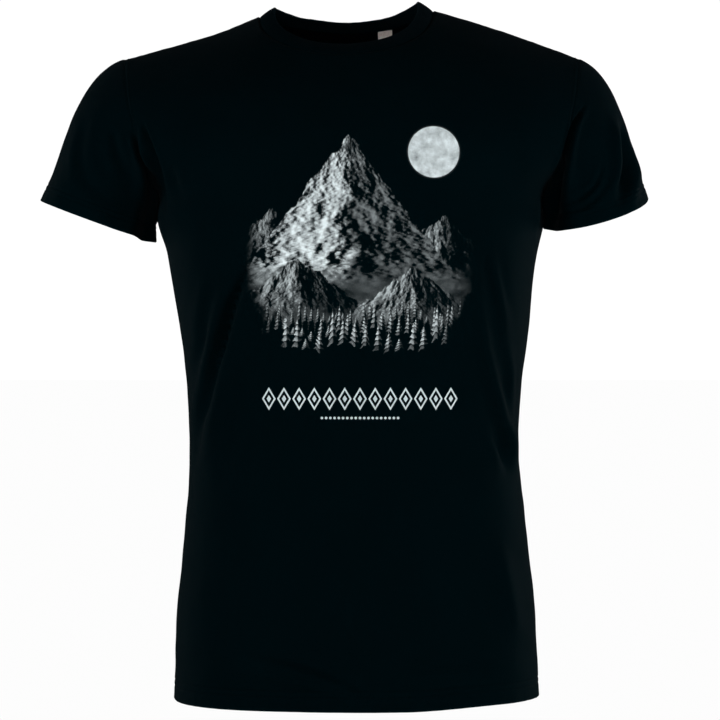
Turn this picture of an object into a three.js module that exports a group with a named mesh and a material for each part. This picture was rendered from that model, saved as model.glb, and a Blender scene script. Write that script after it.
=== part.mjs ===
// A men's crew-neck T-shirt with short sleeves, in cotton jersey, in the shape it has when worn.
// Millimetres, +Z up. The chest faces -Y and the wearer's left arm is on +X. The shirt stands on its bottom
// hem, and the origin is on the floor under the middle of its box.
//
// Every piece of cloth is a grid of points on one outer surface. Neighbouring grids share the points of
// their seam, so the whole outer surface is closed there, and each piece then gets its own thickness.
import * as THREE from "three";

// ---- Cloth
const JERSEY = 1.2; // one layer of the body and sleeve cloth, with its nap
const HEM = 2.2; // two layers, where an edge is folded up and stitched
const RIB = 2.2; // the folded rib of the neckband
const TAPE = 0.9; // the tape that covers the back neck seam
const LABEL = 0.8;
const SEAM_GAP = 0.3; // left open between two pieces that are sewn together
const BLACK_JERSEY = new THREE.MeshStandardMaterial({ color: 0x0a0d0f, roughness: 0.92, metalness: 0 });
const BLACK_RIB = new THREE.MeshStandardMaterial({ color: 0x090b0d, roughness: 0.95, metalness: 0 });
const BLACK_TAPE = new THREE.MeshStandardMaterial({ color: 0x050607, roughness: 0.85, metalness: 0 });
const ECRU_LABEL = new THREE.MeshStandardMaterial({ color: 0xcbb8ab, roughness: 0.8, metalness: 0 });
const MATERIALS = { neckband: BLACK_RIB, neck_tape: BLACK_TAPE, size_label: ECRU_LABEL };

// ---- Body: the sizes of the level cross-section, from the hem up. Above the armpit the half-width is that
// of the shoulder and upper arm together, and the armhole cuts the body off before it gets there.
const LEVELS = [
  { z: 0, half: 188, shift: 13.5, front: 112, back: 119 },
  { z: 83, half: 185, shift: 12, front: 109, back: 116 },
  { z: 166, half: 177, shift: 12.5, front: 106, back: 106 },
  { z: 229, half: 171, shift: 11, front: 104, back: 98 },
  { z: 291, half: 170, shift: 10, front: 105, back: 97 },
  { z: 374, half: 179, shift: 10.5, front: 112, back: 104 },
  { z: 458, half: 191, shift: 8.5, front: 121, back: 114 },
  { z: 493, half: 200, shift: 7, front: 124, back: 118 },
  { z: 522, half: 200, shift: 7, front: 126, back: 121 },
  { z: 565, half: 240, shift: 7, front: 124, back: 122 },
  { z: 610, half: 272, shift: 8, front: 117, back: 118 },
  { z: 650, half: 284, shift: 8, front: 109, back: 112 },
  { z: 725, half: 286, shift: 8, front: 98, back: 104 },
];
const SQUARENESS = 0.03; // how far a cross-section is from an ellipse towards a rectangle
const BACK_SET = 11; // how far the shoulders sit behind the middle of the hem
const BACK_SET_FROM = 250; // the height where that begins

// ---- Shoulders and neck
const SHOULDER = { centre: 8, half: 235, z: 662 }; // where the shoulder seams meet the sleeves
const SHOULDER_BOW = 3; // the seam rises over the wearer's left shoulder and sags over the right
const NECK_TILT = 3; // how much higher the neck's left end is, and how much lower its right end
const NECK_SEAM = { centre: 2.5, half: 90, side: 709, front: 657, back: 698 };
const NECK_APPROACH = 0.6; // how strongly the columns turn to meet the neck and shoulder seams squarely
const NECK_CURVE = { front: 0.85, back: 2 }; // under 1 a squarer neckline, over 1 a more pointed one
const NECKBAND = { width: 19, side: 36, front: 42, back: 27 }; // and how steeply it rises, in degrees
const CREST_RISE = 14; // how much higher the shoulders' line would be in the middle of the neck opening
const SHOULDER_FALL = { front: 150, back: 135 }; // height over which the shoulder rounds into the chest
const NECK_BULGE = 1.2; // how far the neckband curves out between its two edges
const RIDGE = 0.6; // 0.5 rounds the shoulder over like an ellipse, more makes a sharper ridge

// ---- Armholes and sleeves, the wearer's right (-X) and left (+X)
const ARMPIT_Z = 522;
const ARMHOLE_BOW = { front: 5, back: 2 }; // how far the armhole curves out from a straight line
const SLEEVES = {
  right: { side: -1, inner: [-195, 471], tip: [-316, 515], deep: 54, droop: 3, lean: [0, 26] },
  left: { side: 1, inner: [208, 486], tip: [317, 517], deep: 54, droop: 13, lean: [0, 21] },
};
const SLEEVE_HEM = 20; // height of the stitched hem
const BOTTOM_HEM = 22;
const SLEEVE_SPRING = { start: 0.97, end: 0.85 }; // how long the sleeve follows the body, then its own hem

// ---- Back neck tape and size label
const TAPE_ROWS = 1; // the tape covers this many rows of the back under the neck seam
const SIZE_LABEL = { from: 1.46, to: 2.17, foot: 0.935 }; // columns it hangs between, and how far down
const LABEL_CLEARANCE = 0.5; // from the tape's nearest facets

// ---- How finely each piece is divided
const NECK_COLUMNS = 6; // from the middle of the neck to the shoulder seam
const SHOULDER_COLUMNS = 5;
const BODY_ROWS = 11; // from the bottom hem to the armpit
const ARMHOLE_ROWS = 12;
const SLEEVE_ROWS = 6;
const NECKBAND_ROWS = 2;

const QUARTER = Math.PI / 2;
const FACES = { front: -1, back: 1 };
const HALF_COLUMNS = NECK_COLUMNS + SHOULDER_COLUMNS;
const { clamp, degToRad, lerp, smoothstep } = THREE.MathUtils;

// One size of the cross-section at height z: a smooth curve through that size at the levels.
function sizeAt(z, size) {
  const last = LEVELS.length - 1;
  let low = 0;
  while (low < last - 1 && z > LEVELS[low + 1].z) {
    low += 1;
  }
  const slope = (k) => {
    const before = LEVELS[Math.max(k - 1, 0)];
    const after = LEVELS[Math.min(k + 1, last)];
    return (after[size] - before[size]) / (after.z - before.z);
  };
  const from = LEVELS[low];
  const to = LEVELS[low + 1];
  const span = to.z - from.z;
  const s = clamp((z - from.z) / span, 0, 1);
  return (
    from[size] * (1 + 2 * s) * (1 - s) ** 2 +
    slope(low) * span * s * (1 - s) ** 2 +
    to[size] * s * s * (3 - 2 * s) +
    slope(low + 1) * span * s * s * (s - 1)
  );
}

// Where the cross-section's point at this angle lies, as shares of the half-width and of the depth.
function across(angle) {
  return (Math.sin(angle) + SQUARENESS * Math.sin(3 * angle)) / (1 - SQUARENESS);
}

function outward(angle) {
  return (Math.cos(angle) - SQUARENESS * Math.cos(3 * angle)) / (1 - SQUARENESS);
}

// The angle whose point lies at x on the cross-section at height z.
function angleAt(x, z) {
  const share = clamp((x - sizeAt(z, "shift")) / sizeAt(z, "half"), -1, 1);
  let [low, high] = [-QUARTER, QUARTER];
  for (let step = 0; step < 40; step++) {
    const middle = (low + high) / 2;
    [low, high] = across(middle) < share ? [middle, high] : [low, middle];
  }
  return (low + high) / 2;
}

function shoulderX(side) {
  return SHOULDER.centre + side * SHOULDER.half;
}

// The height of the shoulder seam's line above x, which runs on a little under the neck opening.
function crest(x) {
  const reach = Math.abs(x - NECK_SEAM.centre);
  const side = Math.sign(x - NECK_SEAM.centre);
  if (reach < NECK_SEAM.half) {
    const share = (side * reach) / NECK_SEAM.half;
    return NECK_SEAM.side + NECK_TILT * share + CREST_RISE * (1 - share ** 2);
  }
  const end = Math.abs(shoulderX(side) - NECK_SEAM.centre);
  const share = (reach - NECK_SEAM.half) / (end - NECK_SEAM.half);
  const bow = side * SHOULDER_BOW * Math.sin(Math.PI * clamp(share, 0, 1));
  return lerp(NECK_SEAM.side + side * NECK_TILT, SHOULDER.z, share) + bow;
}

function middleY(z) {
  return BACK_SET * smoothstep(z, BACK_SET_FROM, SHOULDER.z);
}

// A point of the body's outer surface. The angle is 0 at the middle of the chest or back and a quarter turn
// at the side seam, and under the shoulder seam the cloth rounds over from front to back.
function bodyPoint(face, angle, z) {
  const x = sizeAt(z, "shift") + sizeAt(z, "half") * across(angle);
  const fall = clamp((crest(x) - z) / SHOULDER_FALL[face], 0, 1);
  const roundOver = (1 - (1 - fall) ** 2) ** RIDGE;
  const depth = sizeAt(z, face) * outward(angle) * roundOver;
  return new THREE.Vector3(x, middleY(z) + FACES[face] * depth, z);
}

// A smooth curve that leaves one point in one direction and reaches another point in another direction.
function hermite(from, leave, to, arrive, s) {
  return from
    .clone()
    .multiplyScalar((1 + 2 * s) * (1 - s) ** 2)
    .addScaledVector(leave, s * (1 - s) ** 2)
    .addScaledVector(to, s * s * (3 - 2 * s))
    .addScaledVector(arrive, s * s * (s - 1));
}

// The neck seam's place at a turn from its middle (0) to the wearer's left shoulder (a quarter turn).
function neckSeam(face, turn) {
  const fall = Math.max(Math.cos(turn), 0) ** NECK_CURVE[face];
  const x = NECK_SEAM.centre + NECK_SEAM.half * Math.sin(turn);
  const z = lerp(NECK_SEAM.side, NECK_SEAM[face], fall) + NECK_TILT * Math.sin(turn) ** 3;
  return new THREE.Vector2(x, z);
}

// A column's place at the hem (angle), and at the neck or shoulder seam (x and height).
function columnFoot(column) {
  const side = Math.sign(column);
  const neckAngle = angleAt(sizeAt(0, "shift") + side * NECK_SEAM.half, 0);
  const share = Math.abs(column) / NECK_COLUMNS;
  if (share <= 1) {
    return neckAngle * share;
  }
  return lerp(neckAngle, side * QUARTER, (Math.abs(column) - NECK_COLUMNS) / SHOULDER_COLUMNS);
}

function columnTop(face, column) {
  const side = Math.sign(column);
  const beyond = Math.abs(column) - NECK_COLUMNS;
  if (beyond <= 0) {
    return neckSeam(face, (QUARTER * column) / NECK_COLUMNS);
  }
  const x = lerp(NECK_SEAM.centre + side * NECK_SEAM.half, shoulderX(side), beyond / SHOULDER_COLUMNS);
  return new THREE.Vector2(x, crest(x));
}

// The armhole seam in the front view, from the armpit (0) to the shoulder (1).
function armholeSeam(face, side, share) {
  const armpitX = sizeAt(ARMPIT_Z, "shift") + side * sizeAt(ARMPIT_Z, "half");
  const bow = side * ARMHOLE_BOW[face] * Math.sin(Math.PI * share);
  return new THREE.Vector2(
    lerp(armpitX, shoulderX(side), share) + bow,
    lerp(ARMPIT_Z, SHOULDER.z, share),
  );
}

// A column in the front view, from the armpit's level (0) to the neck or shoulder seam (1). It starts
// upright and arrives square to the seam.
function columnLine(face, column, share) {
  const foot = bodyPoint(face, columnFoot(column), ARMPIT_Z);
  const start = new THREE.Vector2(foot.x, foot.z);
  const top = columnTop(face, column);
  const before = top.clone().sub(columnTop(face, column - 0.5)).normalize();
  const after = columnTop(face, column + 0.5).sub(top).normalize();
  const along = before.add(after).normalize();
  const length = start.distanceTo(top);
  const arrive = new THREE.Vector2(-along.y, along.x).multiplyScalar(length * NECK_APPROACH);
  return hermite(start, new THREE.Vector2(0, length), top, arrive, share);
}

// A point of the front or back at a column and at a share of the way up its armhole.
function upperPoint(face, column, share) {
  const side = Math.sign(column) || 1;
  const nearness = (column / HALF_COLUMNS) ** 2;
  const pull = armholeSeam(face, side, share).sub(columnLine(face, side * HALF_COLUMNS, share));
  const line = columnLine(face, column, share).addScaledVector(pull, nearness);
  return bodyPoint(face, angleAt(line.x, line.y), line.y);
}

function range(count) {
  return Array.from({ length: count + 1 }, (_, i) => i);
}

function columns(face) {
  const order = range(2 * HALF_COLUMNS).map((i) => i - HALF_COLUMNS);
  return face === "front" ? order : order.reverse();
}

// ---- Grids of outer points, row by row from the bottom up, with columns that run to the wearer's left on
// the front and to the right on the back, so that every face points out.
function panelGrid(face) {
  const lower = range(BODY_ROWS).map((row) => {
    const z = lerp(BOTTOM_HEM, ARMPIT_Z, row / BODY_ROWS);
    return columns(face).map((column) => bodyPoint(face, columnFoot(column), z));
  });
  const upper = range(ARMHOLE_ROWS).map((row) => {
    const share = (1 - Math.cos((Math.PI * row) / ARMHOLE_ROWS)) / 2; // closer together at both ends
    return columns(face).map((column) => upperPoint(face, column, share));
  });
  return [...lower, ...upper.slice(1)];
}

function bottomHemGrid() {
  return [0, BOTTOM_HEM].map((z) => [
    ...columns("front").map((column) => bodyPoint("front", columnFoot(column), z)),
    ...columns("back").slice(1, -1).map((column) => bodyPoint("back", columnFoot(column), z)),
  ]);
}

// The armhole's points from the armpit up the front to the shoulder and down the back, and the panels'
// next points inward from them.
function armhole(side, panels) {
  const around = (inward) => {
    const edge = (face) => {
      const atEnd = side > 0 === (face === "front");
      return panels[face].slice(BODY_ROWS).map((row) => row.at(atEnd ? -1 - inward : inward));
    };
    return [...edge("front"), ...edge("back").reverse().slice(1, -1)];
  };
  return { seam: around(0), inside: around(1) };
}

// How far round the loop each of its points is, from 0 to 1.
function shares(loop) {
  const steps = loop.map((point, i) => point.distanceTo(loop[(i + 1) % loop.length]));
  const whole = steps.reduce((sum, step) => sum + step, 0);
  let gone = 0;
  return steps.map((step) => {
    const share = gone / whole;
    gone += step;
    return share;
  });
}

// A sleeve's end: an oval that starts at its inner side and turns over the front to the tip, and the
// direction in which the cloth arrives there, which leans out more and more towards the tip.
function sleeveEnd(sleeve, share) {
  const turn = 2 * Math.PI * share;
  const inner = new THREE.Vector3(sleeve.inner[0], BACK_SET, sleeve.inner[1]);
  const tip = new THREE.Vector3(sleeve.tip[0], BACK_SET, sleeve.tip[1]);
  const point = inner.clone().lerp(tip, (1 - Math.cos(turn)) / 2);
  point.add(new THREE.Vector3(0, -sleeve.deep, -sleeve.droop).multiplyScalar(Math.sin(turn)));
  const lean = degToRad(lerp(...sleeve.lean, (1 - Math.cos(turn)) / 2));
  const down = new THREE.Vector3(sleeve.side * Math.sin(lean), 0, -Math.cos(lean));
  return { point, down };
}

// A sleeve leaves the armhole in line with the body's surface, and arrives in line with its own end.
function sleeveGrids(sleeve, panels) {
  const { seam, inside } = armhole(sleeve.side, panels);
  const spread = shares(seam);
  const ends = spread.map((share) => sleeveEnd(sleeve, share));
  const edge = ends.map((end) => end.point);
  const hemTop = ends.map((end) => end.point.clone().addScaledVector(end.down, -SLEEVE_HEM));
  const rows = range(SLEEVE_ROWS).map((row) => {
    const s = row / SLEEVE_ROWS;
    return seam.map((start, i) => {
      const { down } = ends[i];
      const length = start.distanceTo(hemTop[i]);
      const overArm = Math.sin(Math.PI * spread[i]) ** 2; // 0 at the armpit, 1 at the shoulder
      const leave = start.clone().sub(inside[i]).normalize();
      leave.lerp(down, 1 - overArm).multiplyScalar(length * SLEEVE_SPRING.start);
      const arrive = down.clone().multiplyScalar(length * SLEEVE_SPRING.end);
      return hermite(start, leave, hemTop[i], arrive, s);
    });
  });
  const facingOut = (grid) => (sleeve.side > 0 ? grid.map((row) => [...row].reverse()) : grid);
  return { main: facingOut(rows), hem: facingOut([hemTop, edge]) };
}

// The neckband's loop runs from the wearer's right shoulder over the front to the left, and round the back.
function neckbandGrid(panels) {
  const neckPart = (face) => panels[face].at(-1).slice(SHOULDER_COLUMNS, -SHOULDER_COLUMNS);
  const seam = [...neckPart("front"), ...neckPart("back").slice(1, -1)];
  const centre = new THREE.Vector3(NECK_SEAM.centre, BACK_SET, 0);
  return range(NECKBAND_ROWS).map((row) => {
    const share = row / NECKBAND_ROWS;
    return seam.map((point, i) => {
      const turn = (QUARTER * i) / NECK_COLUMNS; // a quarter turn at the middle of the front
      const face = turn < 2 * QUARTER ? "front" : "back";
      const rise = degToRad(lerp(NECKBAND.side, NECKBAND[face], Math.sin(turn) ** 2));
      const inward = centre.clone().sub(point).setZ(0).normalize();
      const reach = NECKBAND.width * share * Math.cos(rise) - NECK_BULGE * Math.sin(Math.PI * share);
      const risen = point.clone().addScaledVector(inward, reach);
      return risen.setZ(point.z + NECKBAND.width * share * Math.sin(rise));
    });
  });
}

// ---- From grids to solids
const keyOf = (point) => point.toArray().map((n) => Math.round(n * 100)).join();

// The outward direction of the cloth at each point. Where the body meets a sleeve it is halfway between.
function sharedNormals(families) {
  const shared = new Map();
  for (const family of families) {
    for (const [key, normal] of familyNormals(family)) {
      shared.set(key, (shared.get(key) || new THREE.Vector3()).add(normal));
    }
  }
  shared.forEach((normal) => normal.normalize());
  return shared;
}

function familyNormals(grids) {
  const sums = new Map();
  const add = (corner, normal) => {
    const key = keyOf(corner);
    sums.set(key, (sums.get(key) || new THREE.Vector3()).add(normal));
  };
  for (const { points, closed } of grids) {
    for (let row = 0; row + 1 < points.length; row++) {
      const [low, high] = [points[row], points[row + 1]];
      for (let column = 0; column < low.length - (closed ? 0 : 1); column++) {
        const next = (column + 1) % low.length;
        const rising = high[next].clone().sub(low[column]);
        const normal = rising.cross(high[column].clone().sub(low[next])).normalize();
        [low[column], low[next], high[next], high[column]].forEach((corner) => add(corner, normal));
      }
    }
  }
  sums.forEach((normal) => normal.normalize());
  return sums;
}

// The step that takes a corner of a seam half a gap into its own cloth, which lies left of the seam's runs.
function stepFromSeam(runs) {
  const [first, last = first] = runs.map(([from, to]) => {
    const facing = from.normal.clone().add(to.normal);
    return facing.cross(to.point.clone().sub(from.point)).normalize();
  });
  return first.clone().add(last).multiplyScalar(SEAM_GAP / 2 / (1 + first.dot(last)));
}

// Takes the sewn edges of a grid half a seam's gap back.
function trimmed(points, closed, edges, normalAt) {
  const last = points.length - 1;
  const width = points[0].length;
  const at = (row, column) => {
    const turned = closed ? (column + width) % width : column;
    const point = points[row]?.[turned];
    return point && { point, normal: normalAt(row, turned) };
  };
  const moved = (point, row, column) => {
    const here = at(row, column);
    const [left, right] = [at(row, column - 1), at(row, column + 1)];
    const [below, above] = [at(row - 1, column), at(row + 1, column)];
    const seams = [
      row === 0 && edges.bottom && [left, right],
      row === last && edges.top && [right, left],
      !closed && column === 0 && [above, below],
      !closed && column === width - 1 && [below, above],
    ].filter(Boolean);
    const runs = ([before, after]) => [before && [before, here], after && [here, after]].filter(Boolean);
    return seams.reduce((sum, seam) => sum.add(stepFromSeam(runs(seam))), point.clone());
  };
  return points.map((line, row) => line.map((point, column) => moved(point, row, column)));
}

// Makes the cloth stand upright along a row, so that its edge comes out level.
function level(normals, row) {
  row.forEach((point) => normals.get(keyOf(point)).setZ(0).normalize());
}

// A closed solid of a grid's cloth, which starts at a depth under the outer surface and goes in from there.
function clothSolid({ points, closed, edges, thickness, depth = 0 }, normals) {
  const normalAt = (row, column) => normals.get(keyOf(points[row][column]));
  const layer = (deep) => {
    const moved = points.map((line, row) =>
      line.map((point, column) => point.clone().addScaledVector(normalAt(row, column), -deep)),
    );
    return trimmed(moved, closed, edges, normalAt);
  };
  const vertices = [layer(depth), layer(depth + thickness)].flat(2);
  const width = points[0].length;
  const steps = width - (closed ? 0 : 1);
  const top = points.length - 1;
  const outer = (row, column) => row * width + (column % width);
  const inner = (row, column) => points.length * width + outer(row, column);
  const index = [];
  const quad = (a, b, c, d) => index.push(a, b, c, a, c, d);
  for (let row = 0; row < top; row++) {
    for (let column = 0; column < steps; column++) {
      const [next, above] = [column + 1, row + 1];
      quad(outer(row, column), outer(row, next), outer(above, next), outer(above, column));
      quad(inner(row, column), inner(above, column), inner(above, next), inner(row, next));
    }
    if (!closed) {
      quad(outer(row, 0), outer(row + 1, 0), inner(row + 1, 0), inner(row, 0));
      quad(outer(row, steps), inner(row, steps), inner(row + 1, steps), outer(row + 1, steps));
    }
  }
  for (let column = 0; column < steps; column++) {
    const next = column + 1;
    quad(outer(0, column), inner(0, column), inner(0, next), outer(0, next));
    quad(outer(top, column), outer(top, next), inner(top, next), inner(top, column));
  }
  const geometry = new THREE.BufferGeometry();
  const positions = vertices.flatMap((point) => point.toArray());
  geometry.setAttribute("position", new THREE.Float32BufferAttribute(positions, 3));
  geometry.setIndex(index);
  geometry.computeVertexNormals();
  return geometry;
}

// The tape lies on the inside of the back, along the neck seam from shoulder seam to shoulder seam.
function neckTapeGrid(panels) {
  const rows = panels.back.slice(-1 - TAPE_ROWS);
  return rows.map((row) => row.slice(SHOULDER_COLUMNS, -SHOULDER_COLUMNS));
}

// A small woven tab that hangs from the neck seam over the tape, beside the middle of the back.
function sizeLabelGrid() {
  const { from, to, foot } = SIZE_LABEL;
  return [foot, 1].map((share) => [to, from].map((column) => upperPoint("back", column, share)));
}

// ---- The pieces: which edges of each are sewn to a neighbour, and how deep under the outer surface it lies.
const panels = { front: panelGrid("front"), back: panelGrid("back") };
const atBottom = { bottom: true, top: false };
const atTop = { bottom: false, top: true };
const atBoth = { bottom: true, top: true };
const bottomHem = bottomHemGrid();
const body = [
  { name: "front_panel", points: panels.front, closed: false, edges: atBoth, thickness: JERSEY },
  { name: "back_panel", points: panels.back, closed: false, edges: atBoth, thickness: JERSEY },
  { name: "bottom_hem", points: bottomHem, closed: true, edges: atTop, thickness: HEM },
  { name: "neckband", points: neckbandGrid(panels), closed: true, edges: atBottom, thickness: RIB },
];
const sleeves = Object.entries(SLEEVES).map(([side, sleeve]) => {
  const { main, hem } = sleeveGrids(sleeve, panels);
  return [
    { name: `sleeve_${side}`, points: main, closed: true, edges: atBoth, thickness: JERSEY },
    { name: `sleeve_hem_${side}`, points: hem, closed: true, edges: atBottom, thickness: HEM },
  ];
});
const tape = {
  name: "neck_tape",
  points: neckTapeGrid(panels),
  closed: false,
  edges: atTop,
  thickness: TAPE,
  depth: JERSEY + SEAM_GAP,
};
const label = {
  name: "size_label",
  points: sizeLabelGrid(),
  closed: false,
  edges: atTop,
  thickness: LABEL,
  depth: tape.depth + TAPE + LABEL_CLEARANCE,
};

const bodyNormals = sharedNormals([body, ...sleeves]);
level(bodyNormals, bottomHem[0]);
const shirt = new THREE.Group();
for (const piece of [...body, ...sleeves.flat(), tape, label]) {
  const normals = piece === label ? sharedNormals([[label]]) : bodyNormals;
  const mesh = new THREE.Mesh(clothSolid(piece, normals), MATERIALS[piece.name] || BLACK_JERSEY);
  mesh.name = piece.name;
  shirt.add(mesh);
}

const box = new THREE.Box3().setFromObject(shirt);
const middle = box.getCenter(new THREE.Vector3());
shirt.children.forEach((piece) => piece.geometry.translate(-middle.x, -middle.y, -box.min.z));

export default shirt;
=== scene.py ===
"""The looks of a men's black crew-neck T-shirt with a printed chest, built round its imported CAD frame."""

import math
from functools import partialmethod

import bpy
import numpy as np
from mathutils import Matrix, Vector, kdtree


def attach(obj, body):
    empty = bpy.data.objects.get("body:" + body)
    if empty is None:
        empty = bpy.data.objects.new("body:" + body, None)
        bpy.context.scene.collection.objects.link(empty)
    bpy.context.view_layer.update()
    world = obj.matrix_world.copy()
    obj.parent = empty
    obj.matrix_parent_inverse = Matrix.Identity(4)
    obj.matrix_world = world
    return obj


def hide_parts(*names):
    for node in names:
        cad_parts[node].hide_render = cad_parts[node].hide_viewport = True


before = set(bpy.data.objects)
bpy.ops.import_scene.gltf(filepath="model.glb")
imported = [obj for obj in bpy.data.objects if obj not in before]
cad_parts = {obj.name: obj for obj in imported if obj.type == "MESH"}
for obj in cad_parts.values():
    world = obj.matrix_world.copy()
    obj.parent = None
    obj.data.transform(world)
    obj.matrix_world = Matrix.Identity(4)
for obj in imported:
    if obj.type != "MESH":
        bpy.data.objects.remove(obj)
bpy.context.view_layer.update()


# ==== Studio
# A white floor and backdrop, with a soft light on each side of the shirt, two behind it, and a weaker one
# straight in front and behind. The camera stands level with the shirt's middle, 2.5 m in front of it.
CAMERA_PLACE = (0.0161, -2.5067, 0.349)
CAMERA_LENS, SENSOR = 120.8, 36
FLOOR_SIZE, FLOOR_GREY = 80.0, 0.3
ROOM_LIGHT, BACKDROP_LIGHT, FLOOR_LIGHT = 0.03, 1.03, 0.98
LIGHTS_AIM = (0, 0, 0.3)
WHITE = (1, 1, 1, 1)


def new_node(tree, kind, inputs=(), **settings):
    """Adds a node, sets its own settings, then fills its inputs with numbers, colours, sockets or fields."""
    made = tree.nodes.new(kind)
    for name, value in settings.items():
        setattr(made, name, value)
    for name, value in dict(inputs).items():
        value = getattr(value, "socket", value)
        if isinstance(value, bpy.types.NodeSocket):
            tree.links.new(value, made.inputs[name])
        else:
            made.inputs[name].default_value = value
    return made


def bare_nodes(owner):
    """The node tree of a world or a material, with nothing in it yet."""
    owner.use_nodes = True
    owner.node_tree.nodes.clear()
    return owner.node_tree


def apart_for_camera(tree, light, look):
    """A surface or sky that lights the shirt in one way and looks another way to the camera."""
    seen = new_node(tree, "ShaderNodeLightPath").outputs["Is Camera Ray"]
    shaders = {0: seen, 1: light.outputs[0], 2: look.outputs[0]}
    return new_node(tree, "ShaderNodeMixShader", shaders).outputs[0]


def into_scene(name, data):
    """An object in the scene for a mesh, a lamp or a lens."""
    made = bpy.data.objects.new(name, data)
    bpy.context.scene.collection.objects.link(made)
    return made


def soft_light(name, turn, distance, height, size, power):
    """A softbox aimed at the shirt, turned from the front towards the wearer's left by so many degrees."""
    lamp = bpy.data.lights.new(name, "AREA")
    lamp.shape = "RECTANGLE"
    lamp.size, lamp.size_y = size
    lamp.energy = power
    way = math.radians(turn)
    softbox = into_scene(name, lamp)
    softbox.location = (distance * math.sin(way), -distance * math.cos(way), height)
    softbox.rotation_mode = "QUATERNION"
    softbox.rotation_quaternion = (softbox.location - Vector(LIGHTS_AIM)).to_track_quat("Z", "Y")
    softbox.visible_camera = False


studio = bpy.data.worlds.new("studio")
bpy.context.scene.world = studio
sky = bare_nodes(studio)
room = new_node(sky, "ShaderNodeBackground", {"Color": WHITE, "Strength": ROOM_LIGHT})
backdrop = new_node(sky, "ShaderNodeBackground", {"Color": WHITE, "Strength": BACKDROP_LIGHT})
new_node(sky, "ShaderNodeOutputWorld", {"Surface": apart_for_camera(sky, room, backdrop)})

soft_light("left_softbox", turn=62, distance=1.5, height=0.28, size=(0.6, 0.7), power=21)
soft_light("right_softbox", turn=-56, distance=1.5, height=0.38, size=(0.6, 0.7), power=17.5)
soft_light("left_back_softbox", turn=125, distance=2.4, height=0.2, size=(0.8, 1.2), power=34)
soft_light("right_back_softbox", turn=-125, distance=2.4, height=0.5, size=(0.8, 1.2), power=17)
soft_light("front_fill", turn=0, distance=2.4, height=0.4, size=(1.2, 0.3), power=18)
soft_light("back_fill", turn=180, distance=2.4, height=0.4, size=(1.2, 0.3), power=18)

half = FLOOR_SIZE / 2
floor_mesh = bpy.data.meshes.new("floor")
floor_mesh.from_pydata(
    [(-half, -half, 0), (half, -half, 0), (half, half, 0), (-half, half, 0)], [], [(0, 1, 2, 3)]
)
floor = into_scene("floor", floor_mesh)
paper = bpy.data.materials.new("studio_paper")
sweep = bare_nodes(paper)
matt = new_node(sweep, "ShaderNodeBsdfDiffuse", {"Color": (FLOOR_GREY, FLOOR_GREY, FLOOR_GREY, 1)})
bright = new_node(sweep, "ShaderNodeEmission", {"Color": WHITE, "Strength": FLOOR_LIGHT})
new_node(sweep, "ShaderNodeOutputMaterial", {"Surface": apart_for_camera(sweep, matt, bright)})
floor_mesh.materials.append(paper)

lens = bpy.data.cameras.new("camera")
lens.lens = CAMERA_LENS
lens.sensor_width = SENSOR
camera = into_scene("camera", lens)
camera.location = CAMERA_PLACE
camera.rotation_euler = (math.pi / 2, 0, 0)
bpy.context.scene.camera = camera
bpy.context.scene.view_settings.view_transform = "Standard"


# ==== Jersey panels and sleeves
# The front, the back and two short sleeves are single jersey, sewn at the shoulders, sides and armholes.
# They keep the shape and the folds of a worn shirt. All sizes are in millimetres until a mesh is made.
LEVELS = np.array(
    [  # height, half of the width, shift to the wearer's left, depth to the front and to the back
        (0, 188, 13.5, 112, 119),
        (83, 185, 12, 109, 116),
        (166, 177, 12.5, 106, 106),
        (229, 171, 11, 104, 98),
        (291, 170, 10, 105, 97),
        (374, 179, 10.5, 112, 104),
        (458, 191, 8.5, 121, 114),
        (493, 200, 7, 124, 118),
        (522, 200, 7, 126, 121),
        (565, 240, 7, 124, 122),
        (610, 272, 8, 117, 118),
        (650, 284, 8, 109, 112),
        (725, 286, 8, 98, 104),
    ],
    float,
)
HALF, SHIFT, DEPTH = 1, 2, {"front": 3, "back": 4}  # where each size stands in a level
FACING = {"front": -1, "back": 1}
SQUARENESS = 0.03
ROUNDING = 0.6  # below 1, the cloth rounds over late and quickly towards the shoulder seam
LEAN, LEAN_FROM = 11, 250  # the shoulders lie further back than the hem, from this height up
ORIGIN = np.array([0.5, 6.7, 0])  # from the middle of the hem to the origin of the frame
SHOULDER_X, SHOULDER_HALF, SHOULDER_Z, SHOULDER_BOW = 8, 235, 662, 3
SHOULDER_FALL = {"front": 150, "back": 135}
NECK_X, NECK_HALF, NECK_Z, NECK_TILT = 2.5, 90, 709, 3
NECK_CROWN = 14  # how far the shoulders' line would rise over the neck opening
NECK_LOW = {"front": 657, "back": 698}
NECK_CURVE = {"front": 0.85, "back": 2}
ARMPIT_Z = 522
ARMHOLE_BOW = {"front": 5, "back": 2}
NECK_COLUMNS, EDGE_COLUMN = 6, 11  # the neck and the armhole, counted in columns from the middle
FINE_COLUMN = 8  # columns beyond it lie closer together, for the creases at the armholes
SLANT_COLUMN = 3.8  # nearer the neck's corner the columns keep to one slant, or they would cross
CORNER_COLUMNS = 1.5  # past the neck's corner, the columns turn to the shoulder's slant over so many
COLUMN_ARRIVE = 0.6  # how far a column keeps square to the seam that it meets
JERSEY = 0.8
BOTTOM_HEM, SLEEVE_HEM = 22, 20
HEM_LIFT = 4  # the hem hangs this much higher at the front on the wearer's left
LIFT_X, LIFT_Y, LIFT_Z = (60, 160), (60, -60), (200, 0)  # where the lift starts and where it is full
SEAM_DIP, NECK_DIP, STITCH_DIP = 0.8, 1.5, 0.55
DIP_Z = (540, 590)  # the heights at which an armhole seam starts to dip and at which it dips fully


def hermite(start, leave, end, arrive, s):
    """A curve from start to end, by the share s, that sets out and arrives with the given slopes."""
    return (
        start * (1 + 2 * s) * (1 - s) ** 2
        + leave * s * (1 - s) ** 2
        + end * s * s * (3 - 2 * s)
        + arrive * s * s * (s - 1)
    )


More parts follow.
